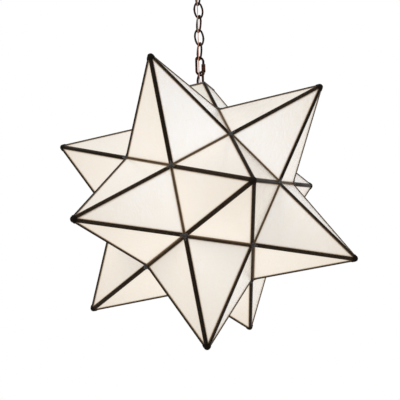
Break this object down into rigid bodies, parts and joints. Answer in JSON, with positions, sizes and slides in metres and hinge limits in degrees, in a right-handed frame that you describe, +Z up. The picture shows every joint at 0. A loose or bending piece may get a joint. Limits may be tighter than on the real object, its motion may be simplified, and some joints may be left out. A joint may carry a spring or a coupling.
{
  "type": "moravian star pendant",
  "caption": "Star-shaped hanging lantern of opal glass pyramids in dark came, on a quick link and oval chain with a lamp cord and ceiling canopy; one point opens as a door.",
  "frame": {"origin": "on the ceiling, at the centre of the mounting bar's slot pattern and of the canopy", "axes": "+Z up into the ceiling, the chain and the star hang along -Z; +X along the mounting bar"},
  "size_m": [0.5222, 0.4972, 0.9062],
  "materials": {
    "came": "satin dark bronze came",
    "solder": "dull blackened solder",
    "glass": "opal white glass, gently rippled",
    "bronze_chain": "satin mahogany bronze",
    "cord": "clear sheath over copper strands",
    "brass": "satin",
    "bulb_cap": "bright",
    "zinc_steel": "zinc plated",
    "black_plastic": "moulded",
    "bulb_glass": "frosted white"
  },
  "bodies": {
    "ceiling_fitting": {"mounting_bar": "zinc_steel", "bar_nut": "zinc_steel", "ceiling_nipple": "brass", "canopy": "bronze_chain", "canopy_collar": "bronze_chain", "canopy_loop": "bronze_chain", "lamp_cord": "cord"},
    "link_1": {"chain_link_1": "bronze_chain"},
    "link_2": {"chain_link_2": "bronze_chain"},
    "link_3": {"chain_link_3": "bronze_chain"},
    "link_4": {"chain_link_4": "bronze_chain"},
    "link_5": {"chain_link_5": "bronze_chain"},
    "link_6": {"chain_link_6": "bronze_chain"},
    "quick_link_oval": {"quick_link": "bronze_chain"},
    "sleeve_nut": {"quick_link_nut": "bronze_chain"},
    "star": {"upper_came_1": "came", "lower_came_1": "came", "upper_panes_1": "glass", "lower_panes_1": "glass", "upper_came_2": "came", "lower_came_2": "came", "upper_panes_2": "glass", "lower_panes_2": "glass", "upper_came_3": "came", "lower_came_3": "came", "upper_panes_3": "glass", "lower_panes_3": "glass", "upper_came_4": "came", "lower_came_4": "came", "upper_panes_4": "glass", "lower_panes_4": "glass", "upper_came_5": "came", "lower_came_5": "came", "upper_panes_5": "glass", "lower_panes_5": "glass", "top_came": "came", "top_plate": "came", "top_panes": "glass", "tip_caps": "solder", "solder_joints": "solder", "hang_loop": "bronze_chain", "lamp_stem": "brass", "stem_nut_upper": "brass", "stem_nut_lower": "brass", "holder_cap": "brass", "screw_shell": "brass", "cord_bushing": "black_plastic", "holder_shell": "black_plastic", "contact_disc": "black_plastic", "hinge_tubes_fixed": "came", "hinge_pin": "brass", "magnet_bracket": "zinc_steel", "door_magnet": "zinc_steel"},
    "door": {"door_came": "came", "hinge_tube_door": "came", "door_panes": "glass", "door_tip_cap": "solder", "strike_plate": "zinc_steel"},
    "bulb": {"bulb_base": "bulb_cap", "bulb_glass": "bulb_glass"}
  },
  "joints": [
    {"name": "link_1_swing", "type": "hinge", "parent": "ceiling_fitting", "child": "link_1", "pos_m": [0, 0, -0.06775], "axis": [0.1736, 0.9848, 0], "range_deg": [-15, 15], "deforming": ["lamp_cord"]},
    {"name": "link_2_swing", "type": "hinge", "parent": "link_1", "child": "link_2", "pos_m": [0, 0, -0.10365], "axis": [0.9848, -0.1736, 0], "range_deg": [-15, 15], "deforming": ["lamp_cord"]},
    {"name": "link_3_swing", "type": "hinge", "parent": "link_2", "child": "link_3", "pos_m": [0, 0, -0.13985], "axis": [0.1736, 0.9848, 0], "range_deg": [-15, 15], "deforming": ["lamp_cord"]},
    {"name": "link_4_swing", "type": "hinge", "parent": "link_3", "child": "link_4", "pos_m": [0, 0, -0.17605], "axis": [0.9848, -0.1736, 0], "range_deg": [-15, 15], "deforming": ["lamp_cord"]},
    {"name": "link_5_swing", "type": "hinge", "parent": "link_4", "child": "link_5", "pos_m": [0, 0, -0.21225], "axis": [0.1736, 0.9848, 0], "range_deg": [-15, 15], "deforming": ["lamp_cord"]},
    {"name": "link_6_swing", "type": "hinge", "parent": "link_5", "child": "link_6", "pos_m": [0, 0, -0.24845], "axis": [0.9848, -0.1736, 0], "range_deg": [-15, 15], "deforming": ["lamp_cord"]},
    {"name": "quick_link_swing", "type": "hinge", "parent": "link_6", "child": "quick_link_oval", "pos_m": [0, 0, -0.28465], "axis": [0.1736, 0.9848, 0], "range_deg": [-15, 15], "deforming": ["lamp_cord"]},
    {"name": "star_swing", "type": "hinge", "parent": "quick_link_oval", "child": "star", "pos_m": [0, 0, -0.32465], "axis": [0.9848, -0.1736, 0], "range_deg": [-15, 15], "deforming": ["lamp_cord"]},
    {"name": "sleeve_nut_travel", "type": "slide", "parent": "quick_link_oval", "child": "sleeve_nut", "axis": [0, 0, 1], "range_m": [0, 0.0085]},
    {"name": "door_swing", "type": "hinge", "parent": "star", "child": "door", "pos_m": [0.06696, 0.04865, -0.74883], "axis": [0.5878, -0.809, 0], "range_deg": [0, 95]},
    {"name": "bulb_travel", "type": "slide", "parent": "star", "child": "bulb", "axis": [0, 0, -1], "range_m": [0, 0.025]}
  ]
}
